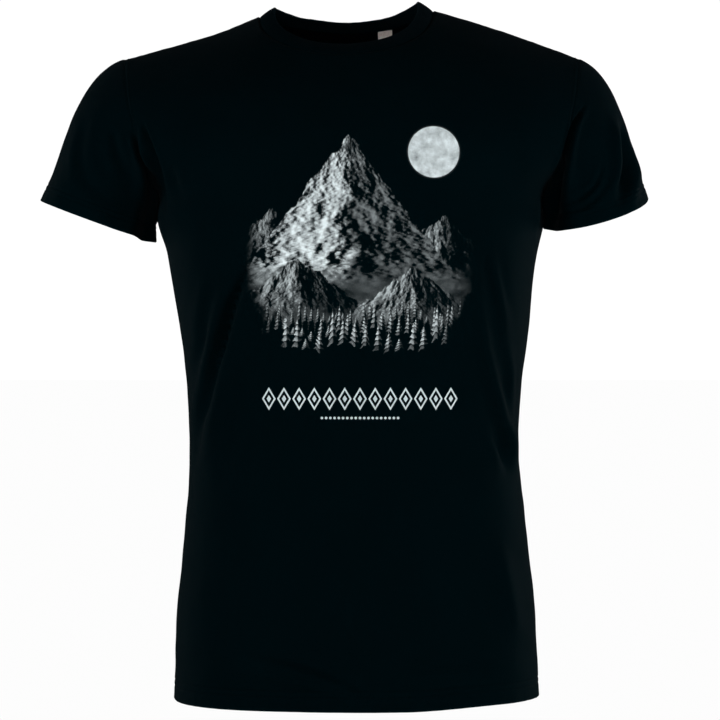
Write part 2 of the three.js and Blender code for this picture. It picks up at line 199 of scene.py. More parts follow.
def unit(vectors):
    return vectors / np.maximum(np.linalg.norm(vectors, axis=-1, keepdims=True), 1e-9)


def ramp(value, start, end):
    """0 up to the start, 1 from the end on, and a smooth climb between them."""
    share = np.clip((value - start) / (end - start), 0, 1)
    return share * share * (3 - 2 * share)


def mix(a, b, share):
    return a + (b - a) * share


slopes = np.gradient(LEVELS, axis=0)
slopes = slopes / slopes[:, :1]


def size_at(z, size):
    """One size of the body at height z, on a smooth curve through that size at the levels."""
    low = np.clip(np.searchsorted(LEVELS[:, 0], z) - 1, 0, len(LEVELS) - 2)
    start, end = LEVELS[low], LEVELS[low + 1]
    span = end[..., 0] - start[..., 0]
    s = np.clip((z - start[..., 0]) / span, 0, 1)
    leave, arrive = slopes[low][..., size] * span, slopes[low + 1][..., size] * span
    return hermite(start[..., size], leave, end[..., size], arrive, s)


def across(angle):
    """How far to the side a level's outline is at an angle from the middle, as a share of its half width."""
    return (np.sin(angle) + SQUARENESS * np.sin(3 * angle)) / (1 - SQUARENESS)


def outward(angle):
    """How far to the front or back a level's outline is at an angle, as a share of its depth."""
    return (np.cos(angle) - SQUARENESS * np.cos(3 * angle)) / (1 - SQUARENESS)


ANGLES = np.linspace(-math.pi / 2, math.pi / 2, 4001)


def angle_at(x, z):
    share = np.clip((x - size_at(z, SHIFT)) / size_at(z, HALF), -1, 1)
    return np.interp(share, across(ANGLES), ANGLES)


def crest(x):
    """Height of the shoulder seam's line above x, which runs on a little under the neck opening."""
    reach, side = np.abs(x - NECK_X), np.sign(x - NECK_X)
    inner = side * reach / NECK_HALF
    under_neck = NECK_Z + NECK_TILT * inner + NECK_CROWN * (1 - inner**2)
    end = np.abs(SHOULDER_X + side * SHOULDER_HALF - NECK_X)
    share = (reach - NECK_HALF) / (end - NECK_HALF)
    bow = side * SHOULDER_BOW * np.sin(np.pi * np.clip(share, 0, 1))
    return np.where(reach < NECK_HALF, under_neck, mix(NECK_Z + side * NECK_TILT, SHOULDER_Z, share) + bow)


def body_point(face, angle, z):
    """The body's surface, where the cloth rounds over from front to back under the shoulder seam."""
    x = size_at(z, SHIFT) + size_at(z, HALF) * across(angle)
    fall = np.clip((crest(x) - z) / SHOULDER_FALL[face], 0, 1)
    depth = size_at(z, DEPTH[face]) * outward(angle) * (1 - (1 - fall) ** 2) ** ROUNDING
    y = LEAN * ramp(z, LEAN_FROM, SHOULDER_Z) + FACING[face] * depth
    return np.stack([x, y, z + 0 * x], -1)


def past_neck(column):
    """The share of the way from the neck's corner to the shoulder's end, and below zero under the neck."""
    return (np.abs(column) - NECK_COLUMNS) / (EDGE_COLUMN - NECK_COLUMNS)


def column_foot(column):
    """The angle of a column at the hem and up to the armpit's level."""
    neck_angle = angle_at(size_at(0.0, SHIFT) + np.sign(column) * NECK_HALF, 0.0)
    edge = mix(neck_angle, np.sign(column) * math.pi / 2, past_neck(column))
    return np.where(np.abs(column) <= NECK_COLUMNS, neck_angle * np.abs(column) / NECK_COLUMNS, edge)


def column_top(face, column):
    """Where a column ends on the neck seam or the shoulder seam, in the front view."""
    turn = math.pi / 2 * np.clip(column / NECK_COLUMNS, -1, 1)
    fall = np.maximum(np.cos(turn), 0) ** NECK_CURVE[face]
    neck_x = NECK_X + NECK_HALF * np.sin(turn)
    neck_z = mix(NECK_Z, NECK_LOW[face], fall) + NECK_TILT * np.sin(turn) ** 3
    side, share = np.sign(column), past_neck(column)
    shoulder_x = mix(NECK_X + side * NECK_HALF, SHOULDER_X + side * SHOULDER_HALF, share)
    ends = np.where(share <= 0, neck_x, shoulder_x), np.where(share <= 0, neck_z, crest(shoulder_x))
    return np.stack(ends, -1)


def column_line(face, column, share):
    """A column above the armpit in the front view. It starts upright and arrives square to the seam, whose
    way is taken beside the column under the neck, and two columns past the neck under the shoulder."""
    foot = body_point(face, column_foot(column), ARMPIT_Z + 0 * column)
    start = foot[..., [0, 2]]
    top = column_top(face, column)
    neck_spot = np.clip(column, -SLANT_COLUMN, SLANT_COLUMN)
    shoulder_spot = np.sign(column) * (NECK_COLUMNS + 2)
    neck_way, shoulder_way = (
        unit(column_top(face, spot + 0.1) - column_top(face, spot - 0.1))
        for spot in (neck_spot, shoulder_spot)
    )
    past_corner = ramp(np.abs(column), NECK_COLUMNS, NECK_COLUMNS + CORNER_COLUMNS)
    along = unit(mix(neck_way, shoulder_way, past_corner[..., None]))
    length = np.linalg.norm(top - start, axis=-1, keepdims=True)
    arrive = np.stack([-along[..., 1], along[..., 0]], -1) * length * COLUMN_ARRIVE
    return hermite(start, np.array([0, 1]) * length, top, arrive, share[..., None])


def upper_point(face, column, share):
    """A point on a column, at a share of the way from the armpit's level up to the neck and shoulder."""
    side = np.where(column < 0, -1, 1)
    armpit_x = size_at(ARMPIT_Z + 0.0, SHIFT) + side * size_at(ARMPIT_Z + 0.0, HALF)
    bow = side * ARMHOLE_BOW[face] * np.sin(np.pi * share)
    seam_x = mix(armpit_x, SHOULDER_X + side * SHOULDER_HALF, share) + bow
    seam = np.stack([seam_x, mix(ARMPIT_Z, SHOULDER_Z, share)], -1)
    pull = seam - column_line(face, side * EDGE_COLUMN, share)
    line = column_line(face, column, share) + pull * (column / EDGE_COLUMN)[..., None] ** 2
    return body_point(face, angle_at(line[..., 0], line[..., 1]), line[..., 1])


# The body is one grid for each face, from the fold of the hem up. The columns run to the wearer's left on the
# front and to the right on the back, so that every face of the mesh points out.
FINE_STEPS, MIDDLE_STEPS = 42, 112
HEM_ROWS, SIDE_ROWS, UPPER_ROWS = 22, 147, 63

spans = [
    (-EDGE_COLUMN, -FINE_COLUMN, FINE_STEPS),
    (-FINE_COLUMN, FINE_COLUMN, MIDDLE_STEPS),
    (FINE_COLUMN, EDGE_COLUMN, FINE_STEPS),
]
columns = np.concatenate([np.linspace(*span, endpoint=False) for span in spans] + [[EDGE_COLUMN]])
hem_heights = np.linspace(1.0, BOTTOM_HEM, HEM_ROWS)
side_heights = np.linspace(BOTTOM_HEM, ARMPIT_Z, SIDE_ROWS + 1)[1:]
upper_shares = np.linspace(0, 1, UPPER_ROWS + 1)[1:]
HEM_TOP = len(hem_heights) - 1
HEM_STITCHES = (13, 19)  # rows of the grid that are sewn, 14 and 20 mm above the edge
ARMPIT = HEM_TOP + len(side_heights)


def body_grid(face):
    order = columns if face == "front" else columns[::-1]
    column, z = np.meshgrid(order, np.concatenate([hem_heights, side_heights]))
    lower = body_point(face, column_foot(column), z)
    column, share = np.meshgrid(order, upper_shares)
    return np.concatenate([lower, upper_point(face, column, share)])


SLEEVES = {
    "right": {"side": -1, "inner": (-195, 471), "tip": (-316, 515), "droop": 3, "lean": (0, 26)},
    "left": {"side": 1, "inner": (208, 486), "tip": (317, 517), "droop": 13, "lean": (0, 21)},
}
SLEEVE_DEEP = 54  # from the middle of a sleeve's edge to its front and to its back
SLEEVE_LEAVE, SLEEVE_ARRIVE = 0.97, 0.85  # how far the sleeve keeps the way of the armhole and of its hem
SLEEVE_HEM_TOP = 47  # the row of the grid where the hem begins
SLEEVE_STITCHES = (49, 54)  # rows of the grid that are sewn, 18 and 13 mm above the edge


def armhole_loop(side, column):
    """Points along one column, up the front from the armpit to the shoulder and down the back."""
    share = np.linspace(0, 1, len(upper_shares) + 1)
    front, back = (upper_point(face, side * column + 0 * share, share) for face in FACING)
    return np.concatenate([front, back[::-1][1:]])


def sleeve_grid(side, inner, tip, droop, lean):
    """A sleeve from the armhole, which it leaves in line with the body, to the fold of its hem. The edge runs
    from inner, beside the body, to tip, and hangs lower at the front by droop. Lean is in degrees."""
    seam, beside_seam = armhole_loop(side, EDGE_COLUMN), armhole_loop(side, EDGE_COLUMN - 1)
    gone = np.concatenate([[0], np.cumsum(np.linalg.norm(np.diff(seam, axis=0), axis=1))])
    turn = 2 * np.pi * gone / gone[-1]
    outer = (1 - np.cos(turn)) / 2
    place = [mix(inner[0], tip[0], outer), LEAN - SLEEVE_DEEP * np.sin(turn)]
    edge = np.stack([*place, mix(inner[1], tip[1], outer) - droop * np.sin(turn)], -1)
    slant = np.radians(mix(*lean, outer))
    down = np.stack([side * np.sin(slant), 0 * slant, -np.cos(slant)], -1)
    hem_top = edge - down * SLEEVE_HEM
    length = np.linalg.norm(hem_top - seam, axis=1, keepdims=True)
    over_arm = np.sin(turn / 2)[:, None] ** 2
    leave = mix(unit(seam - beside_seam), down, 1 - over_arm) * length * SLEEVE_LEAVE
    share = np.linspace(0, 1, SLEEVE_HEM_TOP + 1)[:, None, None]
    main = hermite(seam, leave, hem_top, down * length * SLEEVE_ARRIVE, share)
    hem = hem_top + down * np.linspace(0, SLEEVE_HEM - 1, SLEEVE_HEM)[1:, None, None]
    grid = np.concatenate([main, hem])
    return grid[:, ::-1] if side > 0 else grid


grids = {face: body_grid(face) - ORIGIN for face in FACING}
grids |= {side: sleeve_grid(**sleeve) - ORIGIN for side, sleeve in SLEEVES.items()}
for face in FACING:
    x, y, z = np.moveaxis(grids[face], -1, 0)
    grids[face][..., 2] += HEM_LIFT * ramp(x, *LIFT_X) * ramp(y, *LIFT_Y) * ramp(z, *LIFT_Z)


def shared_normals(grids):
    """The way out of the cloth at each point of each grid, which is the same on both sides of a seam."""
    points = np.concatenate([grid.reshape(-1, 3) for grid in grids.values()])
    _, places = np.unique(points.round(2), axis=0, return_inverse=True)
    sizes = [grid[..., 0].size for grid in grids.values()]
    sums, numbers = np.zeros((len(points), 3)), {}
    for (name, grid), shared in zip(grids.items(), np.split(places.ravel(), np.cumsum(sizes)[:-1])):
        number = numbers[name] = shared.reshape(grid.shape[:2])
        face = np.cross(grid[1:, 1:] - grid[:-1, :-1], grid[1:, :-1] - grid[:-1, 1:])
        for corner in (number[:-1, :-1], number[:-1, 1:], number[1:, 1:], number[1:, :-1]):
            np.add.at(sums, corner.ravel(), face.reshape(-1, 3))
    normals = unit(sums)
    return {name: normals[number] for name, number in numbers.items()}


# Creases in the front and back views. Each says how wide its left and right walls are, as shares of its half
# width, and then the points it passes from the top down: x, z, depth and half width, all in millimetres.
# A negative depth makes a raised fold.
EVEN, NARROW, STEEP_LEFT, STEEP_RIGHT = (1, 1), (0.6, 0.6), (0.45, 1), (1, 0.45)
FRONT_CREASES = [
    # right armhole and sleeve
    (STEEP_RIGHT, [
        (-204, 591, 0, 2.5), (-200, 578, 5, 3), (-195, 563, 9, 4.5), (-190, 548, 12, 6.5), (-187, 533, 12, 8),
        (-185, 517, 9, 8), (-184, 503, 4, 6), (-183, 492, 0, 5),
    ]),
    (STEEP_RIGHT, [
        (-215, 584, 0, 2.4), (-210, 568, 5, 2.6), (-204, 553, 8, 3.2), (-200, 541, 9, 4), (-197, 528, 9, 5.5),
        (-196, 510, 9, 7), (-198, 491, 9, 8), (-201, 476, 7, 9),
    ]),
    (EVEN, [
        (-235, 585, 0, 4), (-233, 570, 2.5, 4), (-229, 555, 2.5, 5), (-221, 542, 2, 6), (-214, 530, 0, 7),
    ]),
    (EVEN, [
        (-263, 604, 0, 5), (-269, 566, 2.4, 5), (-264, 537, 2.4, 6), (-246, 519, 1.4, 8), (-225, 507, 0, 10),
    ]),
    (EVEN, [(-173, 545, 0, 3), (-170, 530, 2, 3.5), (-166, 518, 1.5, 4), (-162, 504, 0, 5)]),
    # right side of the waist
    (NARROW, [
        (-90, 455, 0, 7), (-97, 438, 4, 7), (-105, 419, 8, 8), (-114, 399, 11, 9), (-124, 364, 12, 9),
        (-131, 344, 11, 9), (-136, 324, 9, 9), (-141, 304, 7, 9), (-147, 283, 5, 9), (-151, 257, 3, 10),
        (-154, 232, 0, 10),
    ]),
    (EVEN, [
        (-131, 434, 0, 5), (-135, 414, 2, 5), (-140, 389, 3, 5), (-143, 364, 3, 5), (-148, 339, 2, 5),
        (-152, 308, 0, 5),
    ]),
    (EVEN, [
        (-81, 409, 0, 7), (-89, 369, 1.5, 8), (-100, 329, 2, 9), (-110, 289, 2, 10), (-118, 249, 1.4, 11),
        (-124, 209, 0, 12),
    ]),
    # left armhole and sleeve
    (STEEP_LEFT, [
        (246, 611, 0, 2), (239, 600, 5, 2.4), (231, 586, 8, 2.8), (225, 566, 11, 3.4), (219, 546, 13, 5),
        (214, 529, 14, 7), (211, 514, 14, 9), (208, 501, 13, 11), (206, 486, 9, 11),
    ]),
    (EVEN, [
        (264, 555, 0, 2.4), (261, 540, 1.7, 2.4), (255, 527, 2.3, 2.6), (245, 517, 2.2, 3),
        (232, 510, 1.2, 4),
    ]),
    (EVEN, [
        (270, 534, 0, 2.6), (262, 521, 1.4, 2.6), (252, 510, 1.8, 2.8), (238, 503, 1.8, 3), (223, 499, 1, 4),
    ]),
    (EVEN, [
        (285, 602, 0, 5), (288, 584, 6, 5), (289, 566, 11, 6), (290, 550, 12, 6), (288, 533, 10, 6),
        (284, 517, 5, 6), (280, 504, 0, 6),
    ]),
    (EVEN, [(274, 600, 0, 5), (278, 575, -1.5, 5), (279, 550, -2, 5), (276, 530, -2, 5), (271, 513, 0, 5)]),
    # left side of the waist
    (EVEN, [
        (129, 453, 0, 4), (132, 429, -2, 4.5), (136, 399, -3, 5), (142, 364, -4, 5.5), (150, 329, -5, 6),
        (158, 299, -6, 6), (167, 273, -6, 5), (173, 249, -3, 5), (175, 222, 0, 6),
    ]),
    (EVEN, [(144, 464, 0, 4), (150, 441, -2, 4), (156, 417, -2, 4), (162, 389, -1, 4.5), (165, 364, 0, 5)]),
    (EVEN, [(165, 374, 0, 4), (169, 344, -2, 3.5), (170, 313, -3, 3.5), (172, 283, -2, 4), (173, 262, 0, 4)]),
    (EVEN, [(151, 284, 0, 4), (156, 271, 3, 5), (161, 258, 5.5, 5), (164, 246, 3, 5), (167, 232, 0, 5)]),
    (EVEN, [(138, 469, 0, 4), (143, 447, 2, 4), (148, 419, 2, 4.5), (154, 389, 1.5, 5), (157, 359, 0, 6)]),
    (EVEN, [(157, 168, 0, 8), (161, 142, -3, 9), (166, 117, -4.5, 10), (172, 92, -3, 9), (177, 66, 0, 8)]),
    # above the hem
    (EVEN, [
        (-109, 55, 0, 5), (-73, 47, 2.5, 5), (-38, 38, 3.5, 5), (-9, 28, 3, 5), (8, 19, 1.5, 5),
        (18, 10, 0, 5),
    ]),
    (EVEN, [(8, 151, 0, 5), (6, 111, 1, 6), (4, 72, 1.2, 6), (6, 33, 1.5, 6), (8, 13, 0, 6)]),
    (EVEN, [(54, 33, 0, 6), (96, 38, 1.2, 6), (136, 35, 1.2, 7), (172, 25, 0, 8)]),
]
BACK_CREASES = [
    # armholes
    (STEEP_LEFT, [
        (-222, 606, 0, 3), (-213, 575, 4, 3.5), (-204, 540, 9, 4.5), (-200, 512, 9, 6), (-200, 490, 4, 8),
    ]),
    (EVEN, [(-236, 590, 0, 4), (-229, 560, 2.5, 4.5), (-216, 528, 5, 6), (-206, 503, 5, 7)]),
    (STEEP_RIGHT, [
        (240, 610, 0, 3), (233, 580, 5, 3.5), (224, 545, 9, 4.5), (216, 512, 9, 6), (214, 494, 4, 8),
    ]),
    (EVEN, [(258, 590, 0, 4), (250, 560, 2.5, 4.5), (237, 528, 5, 6), (226, 506, 5, 7)]),
    # shoulder blades
    (EVEN, [(-172, 500, 0, 7), (-160, 460, 3.4, 7), (-144, 420, 4, 8), (-122, 385, 3, 9), (-96, 362, 0, 10)]),
    (EVEN, [
        (-150, 560, 0, 9), (-152, 500, 2.2, 9), (-146, 430, 2.2, 10), (-138, 360, 1.4, 11),
        (-134, 300, 0, 12),
    ]),
    (EVEN, [(186, 494, 0, 7), (172, 452, 3.4, 7), (154, 412, 4, 8), (128, 378, 3, 9), (100, 356, 0, 10)]),
    (EVEN, [
        (160, 548, 0, 9), (165, 490, 2.2, 9), (160, 425, 2.4, 10), (150, 350, 1.4, 11), (146, 290, 0, 12),
    ]),
    # small of the back, where the cloth bunches
    (EVEN, [(-118, 318, 0, 9), (-70, 300, 4, 8), (-10, 296, 4.5, 8), (60, 304, 4, 8), (120, 322, 0, 9)]),
    (EVEN, [(-96, 268, 0, 8), (-40, 256, 3, 8), (30, 254, 3, 8), (96, 270, 0, 9)]),
    (EVEN, [(-60, 352, 0, 9), (0, 340, 2.4, 9), (70, 350, 0, 9)]),
    # skirt
    (EVEN, [(-100, 214, 0, 10), (-108, 150, 3, 10), (-104, 90, 3.4, 11), (-96, 36, 0, 12)]),
    (EVEN, [(112, 220, 0, 10), (120, 160, 3, 10), (116, 100, 3.4, 11), (108, 40, 0, 12)]),
    (EVEN, [(-40, 34, 0, 6), (10, 28, 1.6, 6), (60, 33, 1.6, 6), (92, 44, 0, 7)]),
]
ROLL_HEIGHT, ROLL_PLACE, ROLL_WIDTH = 0.4, 2, 1.1  # the roll beside a crease, in its depths and half widths
CREASE_REACH = 4  # half widths from its middle, beyond which a crease moves nothing
CURVE_STEPS, CURVE_SLACK = 14, 2.5  # the points from knot to knot, and how far apart they may lie


def curve_through(knots):
    """Close points on a smooth curve through the knots."""
    ends = np.vstack([2 * knots[0] - knots[1], knots, 2 * knots[-1] - knots[-2]])
    s = np.linspace(0, 1, CURVE_STEPS, endpoint=False)[:, None]
    runs = []
    for a, b, c, d in zip(ends, ends[1:], ends[2:], ends[3:]):
        bend, turn = 2 * a - 5 * b + 4 * c - d, 3 * b - a - 3 * c + d
        runs.append(0.5 * (2 * b + (c - a) * s + bend * s**2 + turn * s**3))
    return np.vstack([*runs, knots[-1:]])


def crease_height(x, z, creases):
    """How far the creases press the cloth in, with a soft roll on both sides of each."""
    height = np.zeros_like(x)
    for walls, crease in creases:
        line = curve_through(np.array(crease, float))
        reach = CREASE_REACH * max(half_width for *_, half_width in crease)
        low, high = line.min(0) - reach, line.max(0) + reach
        near = (x > low[0]) & (x < high[0]) & (z > low[1]) & (z < high[1])
        spots = np.stack([x[near], z[near]], -1)
        nearest = np.argmin(((spots[:, None] - line[None, :, :2]) ** 2).sum(-1), axis=1)
        gap = spots - line[nearest, :2]
        along = unit(np.gradient(line[:, :2], axis=0))[nearest]
        to_left = gap[:, 0] * along[:, 1] - gap[:, 1] * along[:, 0]
        past_end = np.maximum(np.abs((gap * along).sum(-1)) - CURVE_SLACK, 0)
        depth, half_width = line[nearest, 2], np.maximum(line[nearest, 3], 0.5)
        wall = np.where(to_left > 0, *walls)
        off = np.hypot(to_left / wall, past_end) / half_width
        roll = ROLL_HEIGHT * wall * np.exp(-(((off - ROLL_PLACE) / ROLL_WIDTH) ** 2))
        height[near] += depth * (roll - np.exp(-(off**2)))
    return height


def waves(points, count, lengths, height, seed, spread=(1, 1, 1)):
    """Gentle unevenness: a sum of waves that run in all directions, or mostly in those of a wider spread."""
    random = np.random.default_rng(seed)
    ways = unit(random.normal(size=(count, 3)) * spread)
    ways = ways * (2 * np.pi / random.uniform(*lengths, count))[:, None]
    starts = random.uniform(0, 2 * np.pi, count)
    return height * np.sin(points @ ways.T + starts).sum(-1) / math.sqrt(count)


def armhole_dip(z):
    return SEAM_DIP * ramp(z, *DIP_Z)


ARMHOLE_FADE, HEM_FADE, NECK_FADE = 4, 14, 3  # in steps of the grid from the seam that gathers the cloth
TURNED = (0.05, 0.45)  # how far the cloth must face a side for that side's creases to start and to be full


def drape(name, points, normals):
    """How far the cloth of a grid moves outwards by its folds, its seams and stitches, and its unevenness."""
    x, z = points[..., 0], points[..., 2]
    to_front, to_back = (ramp(facing * normals[..., 1], *TURNED) for facing in FACING.values())
    height = crease_height(x, z, FRONT_CREASES) * to_front + crease_height(x, z, BACK_CREASES) * to_back
    unevenness = waves(points, count=14, lengths=(70, 170), height=0.7, seed=3)
    unevenness += waves(points, count=20, lengths=(22, 48), height=0.16, seed=4)
    height += unevenness
    on_body = name in FACING
    row, column = np.indices(x.shape)
    from_side = np.minimum(column, len(columns) - 1 - column)
    from_armhole = np.where(row < ARMPIT, np.inf, from_side) if on_body else row
    puckers = waves(points, count=12, lengths=(8, 15), height=0.22, seed=5, spread=(0.3, 0.3, 1))
    height += puckers * np.exp(-from_armhole / ARMHOLE_FADE)
    hem_edge = 0 if on_body else len(x) - 1
    ripples = waves(points, count=12, lengths=(8, 17), height=0.2, seed=6, spread=(1, 1, 0.3))
    height += ripples * np.exp(-np.abs(row - hem_edge) / HEM_FADE)
    if on_body:
        neck_ripples = waves(points, count=12, lengths=(8, 15), height=0.2, seed=7, spread=(1, 1, 0.3))
        height += neck_ripples * np.exp((row - len(x)) / NECK_FADE)
        height[ARMPIT:, [0, -1]] -= armhole_dip(z[ARMPIT:, [0, -1]])
        height[:ARMPIT, [0, -1]] -= SEAM_DIP / 2
        height[-1, 1:-1] -= np.where(np.abs(columns[1:-1]) <= NECK_COLUMNS, NECK_DIP, SEAM_DIP)
    else:
        height[0] -= armhole_dip(z[0])
    for sewn in HEM_STITCHES if on_body else SLEEVE_STITCHES:
        height[sewn] -= STITCH_DIP
        height[[sewn - 1, sewn + 1]] -= STITCH_DIP / 3
    return height


normals = shared_normals(grids)
for name in grids:
    grids[name] = grids[name] + normals[name] * drape(name, grids[name], normals[name])[..., None]
normals = shared_normals(grids)

# Under the arm each sleeve lies against the body, from the armpit's level down to a height of its own.
UNDERARM_GAP, UNDERARM_END = 0.4, {"right": 488, "left": 466}
UNDERARM_REACH = (16, 4)  # cloth further off than the first stays where it hangs
END_FADE, TOP_FADE = 10, 8  # so far from each end, the sleeve comes to lie fully against the body
SEAM_FADE = 1.5  # and so many rows of its grid from the armhole seam

side_points = np.concatenate([grids[face][:ARMPIT].reshape(-1, 3) for face in FACING])
side_normals = np.concatenate([normals[face][:ARMPIT].reshape(-1, 3) for face in FACING])
finder = kdtree.KDTree(len(side_points))
for index, point in enumerate(side_points):
    finder.insert(point, index)
finder.balance()
for side, low in UNDERARM_END.items():
    z = grids[side][..., 2]
    share = ramp(z, low, low + END_FADE) * ramp(z, ARMPIT_Z + TOP_FADE, ARMPIT_Z)
    share *= ramp(np.arange(len(z))[:, None], 0, SEAM_FADE)
    held = np.nonzero(share)
    _, nearest, away = zip(*(finder.find(point) for point in grids[side][held]))
    nearest, away = list(nearest), np.array(away)
    gap = ((grids[side][held] - side_points[nearest]) * side_normals[nearest]).sum(-1)
    pull = (UNDERARM_GAP - gap) * ramp(away, *UNDERARM_REACH) * share[held]
    grids[side][held] += side_normals[nearest] * pull[:, None]
normals = shared_normals(grids)


# The second number is how far, in mm, the paler colour of a fold reaches: partly wear, partly a painted
# highlight on its rim.
FOLD_STEPS, WEAR_AND_HIGHLIGHT_REACH, CREASE_ANGLE = 6, 2.2, 55


def cloth(name, outer, normal, thick, closed=False, folded=False):
    """A closed piece of cloth from a grid of its outer side. Its profile goes up the outer side and back down
    the inner side, and a folded piece is round at its last row. A piece that is closed runs round the body.
    Its map "Cloth" is the flat cloth in metres, and its attribute "WearAndHighlight" is 1 along the fold,
    where the material makes the colour paler, partly as wear and partly as a painted highlight on the rim of
    the fold."""
    inner = outer - normal * thick
    profile = [*outer]
    if folded:
        on = unit(outer[-1] - outer[-2])
        middle = (outer[-1] + inner[-1]) / 2
        for angle in np.linspace(0, np.pi, FOLD_STEPS + 1)[1:-1]:
            profile.append(middle + thick / 2 * (normal[-1] * math.cos(angle) + on * math.sin(angle)))
    fold_rows = len(profile) - len(outer)
    ring = np.array([*profile, *inner[::-1]])

    steps = np.linalg.norm(np.diff(outer, axis=1), axis=-1)
    run = np.concatenate([np.zeros((len(outer), 1)), np.cumsum(steps, axis=1)], axis=1)
    run -= run[:, run.shape[1] // 2][:, None]
    run = np.concatenate([run, np.repeat(run[-1:], fold_rows, 0), run[::-1]])
    climb = np.linalg.norm(np.diff(ring[:, ring.shape[1] // 2], axis=0), axis=-1)
    rise = np.repeat(np.concatenate([[0], np.cumsum(climb)])[:, None], run.shape[1], 1)

    count, width = ring.shape[0], ring.shape[1] - closed
    number = np.arange(count * width).reshape(count, width)
    if closed:
        number = np.hstack([number, number[:, :1]])
    above = np.roll(number, -1, axis=0)
    run_above, rise_above = np.roll(run, -1, axis=0), np.vstack([rise[1:], rise[-1:] + thick])
    corners = []
    for low, high in ((number, above), (run, run_above), (rise, rise_above)):
        corners.append(np.stack([low[:, :-1], low[:, 1:], high[:, 1:], high[:, :-1]], -1).reshape(-1, 4))
    faces, flat = corners[0], np.stack(corners[1:], -1).reshape(-1, 2)
    if not closed:
        up = np.arange(len(outer) - 1)
        down = count - 1 - up
        wide, high = np.array([0, 1, 1, 0]) * thick, rise[up, 0][:, None] + np.array([0, 0, 1, 1]) * 2
        side_flat = np.stack([np.broadcast_to(wide, high.shape), high], -1)
        for column, order in ((0, (0, 3, 2, 1)), (-1, (0, 1, 2, 3))):
            rim = [number[row, column] for row in (up, down, down - 1, up + 1)]
            faces = np.vstack([faces, np.stack(rim, -1)[:, order]])
            flat = np.vstack([flat, side_flat[:, order].reshape(-1, 2)])

    mesh = bpy.data.meshes.new(name)
    mesh.from_pydata((ring[:, :width].reshape(-1, 3) / 1000).tolist(), [], faces.tolist())
    mesh.uv_layers.new(name="Cloth").uv.foreach_set("vector", (flat / 1000).astype(np.float32).ravel())
    fold = rise[len(outer) + FOLD_STEPS // 2 - 1, 0] if folded else np.inf
    wear_and_highlight = np.exp(-(((rise[:, :width] - fold) / WEAR_AND_HIGHLIGHT_REACH) ** 2))
    mesh.attributes.new("WearAndHighlight", "FLOAT", "POINT").data.foreach_set("value", wear_and_highlight.astype(np.float32).ravel())
    mesh.shade_smooth()
    mesh.set_sharp_from_angle(angle=math.radians(CREASE_ANGLE))
    return into_scene(name, mesh)


class Field:
    """A number or a place that changes over a surface: one socket in a tree of shader nodes. Sums with fields
    add the maths nodes that work them out."""

    def __init__(self, tree, socket):
        self.tree, self.socket = tree, socket

    def maths(self, operation, *others):
        return field(self.tree, "ShaderNodeMath", dict(enumerate([self, *others])), operation=operation)

    __add__ = partialmethod(maths, "ADD")
    __sub__ = partialmethod(maths, "SUBTRACT")
    __mul__ = partialmethod(maths, "MULTIPLY")
    __truediv__ = partialmethod(maths, "DIVIDE")
    __abs__ = partialmethod(maths, "ABSOLUTE")
    whole = partialmethod(maths, "FLOOR")
    fraction = partialmethod(maths, "FRACT")
    sine = partialmethod(maths, "SINE")
    at_least = partialmethod(maths, "MAXIMUM")
    at_most = partialmethod(maths, "MINIMUM")
    under = partialmethod(maths, "LESS_THAN")  # 1 where the field is less, and 0 elsewhere
    there_and_back = partialmethod(maths, "PINGPONG")

    def __rsub__(self, other):
        return self * -1 + other

    def x_and_y(self):
        parts = new_node(self.tree, "ShaderNodeSeparateXYZ", {0: self}).outputs
        return Field(self.tree, parts["X"]), Field(self.tree, parts["Y"])


def field(tree, kind, inputs=(), output=0, **settings):
    """A new shader node's output, as a field."""
    return Field(tree, new_node(tree, kind, inputs, **settings).outputs[output])


def shader_group(name, **inputs):
    """Makes a group of shader nodes out of a function that turns its inputs, as fields, into its outputs."""

    def made_from(work_out):
        tree = bpy.data.node_groups.new(name, "ShaderNodeTree")
        for label, start in inputs.items():
            kind = "NodeSocketVector" if isinstance(start, tuple) else "NodeSocketFloat"
            tree.interface.new_socket(label, in_out="INPUT", socket_type=kind).default_value = start
        given = tree.nodes.new("NodeGroupInput").outputs
        outputs = work_out(*(Field(tree, given[label]) for label in inputs))
        for label in outputs:
            tree.interface.new_socket(label, in_out="OUTPUT", socket_type="NodeSocketFloat")
        new_node(tree, "NodeGroupOutput", outputs)
        return tree

    return made_from


def use_group(group, tree, **inputs):
    """The fields that come out of a group of shader nodes, placed in a tree."""
    sockets = new_node(tree, "ShaderNodeGroup", inputs, node_tree=group).outputs
    return {label: Field(tree, socket) for label, socket in sockets.items()}


@shader_group("Knit", Place=(0, 0, 0), Width=0.0008, Height=0.0006)
def knit(place, width, height):
    """The V-shaped loops of plain knitting, in columns that run up the cloth."""
    x, y = place.x_and_y()
    from_middle = abs((x / width).fraction() - 0.5)
    up_loop = from_middle * -1.3 + y / height
    yarn = (up_loop.fraction() * math.pi).sine()
    leg = (from_middle * (2 * math.pi)).sine()
    loop = yarn * leg
    # The colour is darker between the loops: painted shade in the hollows of the knit.
    return {"Relief": loop, "Shade": loop * 0.5 + 0.8}


@shader_group("Cotton", Place=(0, 0, 0), Mottle=0.25)
def cotton(place, mottle):
    """The fuzz, slubs and slightly uneven dye of cotton."""
    patches, slubs, fibres = (
        field(place.tree, "ShaderNodeTexNoise", {"Vector": place, "Scale": scale, "Detail": 2})
        for scale in (16, 240, 2600)
    )
    shade = (patches - 0.5) * mottle + 1 + (slubs - 0.5) * 0.4 + (fibres - 0.5) * 0.7
    return {"Relief": fibres, "Shade": shade, "Roughness": slubs * 0.2 + 0.72}


def fuzz_of(tree, mottle):
    """The cotton of a material, at each place of the object."""
    place = new_node(tree, "ShaderNodeTexCoord").outputs["Object"]
    return use_group(cotton, tree, Place=place, Mottle=mottle)


def shaded(colour, shade):
    return field(shade.tree, "ShaderNodeVectorMath", {0: colour, "Scale": shade}, operation="SCALE")


